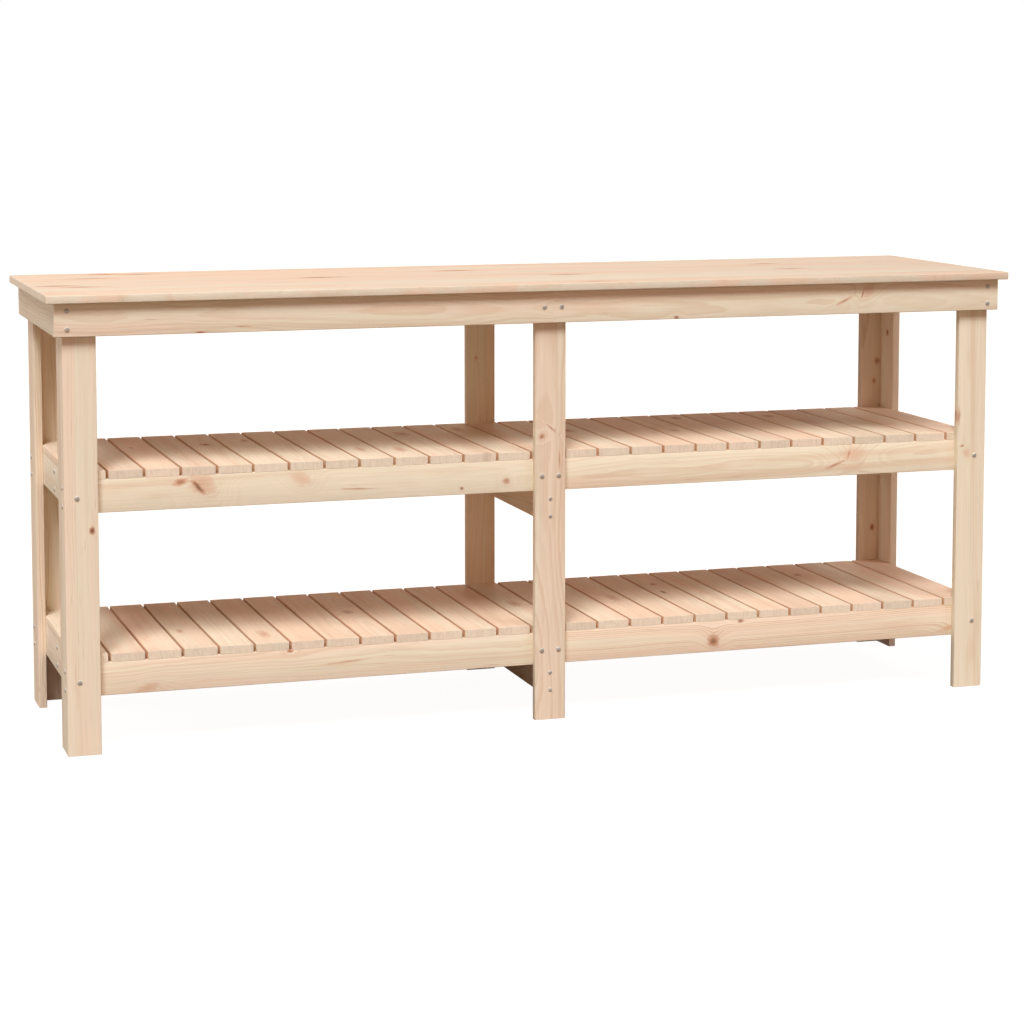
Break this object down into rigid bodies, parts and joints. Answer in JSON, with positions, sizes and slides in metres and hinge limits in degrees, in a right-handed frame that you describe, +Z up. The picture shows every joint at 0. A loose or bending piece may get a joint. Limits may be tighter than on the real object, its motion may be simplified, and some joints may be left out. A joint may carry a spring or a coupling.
{
  "type": "potting bench",
  "caption": "Long pine work table with a flat top on an apron frame, angle-board corner legs, centre legs and slatted shelves below, for potting plants and for storage.",
  "frame": {"origin": "on the floor, in the middle of the footprint", "axes": "+X along the bench, -Y the front, +Z up"},
  "size_m": [1.81, 0.5, 0.8],
  "materials": {
    "pine_top": "fresh unfinished pine panel, planed and sanded, matt",
    "pine_apron": "fresh unfinished pine board, planed, matt",
    "pine_leg": "fresh unfinished knotty pine board, planed, matt",
    "pine_rail": "fresh unfinished knotty pine board, planed, matt",
    "pine_slat": "fresh unfinished pine slat, planed, matt",
    "screw_zinc": "bright zinc-plated domed screw heads with a cross recess, modelled in the visual model"
  },
  "bodies": {
    "root": {"tabletop": "pine_top", "apron_front_left": "pine_apron", "apron_front_right": "pine_apron", "apron_back_left": "pine_apron", "apron_back_right": "pine_apron", "apron_side_left": "pine_apron", "apron_side_right": "pine_apron", "leg_front_left_face": "pine_leg", "leg_front_left_side": "pine_leg", "leg_front_right_face": "pine_leg", "leg_front_right_side": "pine_leg", "leg_back_left_face": "pine_leg", "leg_back_left_side": "pine_leg", "leg_back_right_face": "pine_leg", "leg_back_right_side": "pine_leg", "leg_front_centre": "pine_leg", "leg_back_centre": "pine_leg", "upper_rail_side_left": "pine_rail", "upper_rail_front_left": "pine_rail", "upper_rail_back_left": "pine_rail", "upper_rail_middle_left": "pine_rail", "upper_rail_side_right": "pine_rail", "upper_rail_front_right": "pine_rail", "upper_rail_back_right": "pine_rail", "upper_rail_middle_right": "pine_rail", "upper_cross_piece": "pine_rail", "upper_slats_1": "pine_slat", "upper_slats_2": "pine_slat", "upper_slats_3": "pine_slat", "upper_slats_4": "pine_slat", "upper_slats_5": "pine_slat", "upper_slats_6": "pine_slat", "upper_slats_7": "pine_slat", "upper_slats_8": "pine_slat", "upper_slats_9": "pine_slat", "lower_rail_side_left": "pine_rail", "lower_rail_front_left": "pine_rail", "lower_rail_back_left": "pine_rail", "lower_rail_middle_left": "pine_rail", "lower_rail_side_right": "pine_rail", "lower_rail_front_right": "pine_rail", "lower_rail_back_right": "pine_rail", "lower_rail_middle_right": "pine_rail", "lower_cross_piece": "pine_rail", "lower_slats_1": "pine_slat", "lower_slats_2": "pine_slat", "lower_slats_3": "pine_slat", "lower_slats_4": "pine_slat", "lower_slats_5": "pine_slat", "lower_slats_6": "pine_slat", "lower_slats_7": "pine_slat", "lower_slats_8": "pine_slat", "lower_slats_9": "pine_slat"}
  },
  "joints": []
}
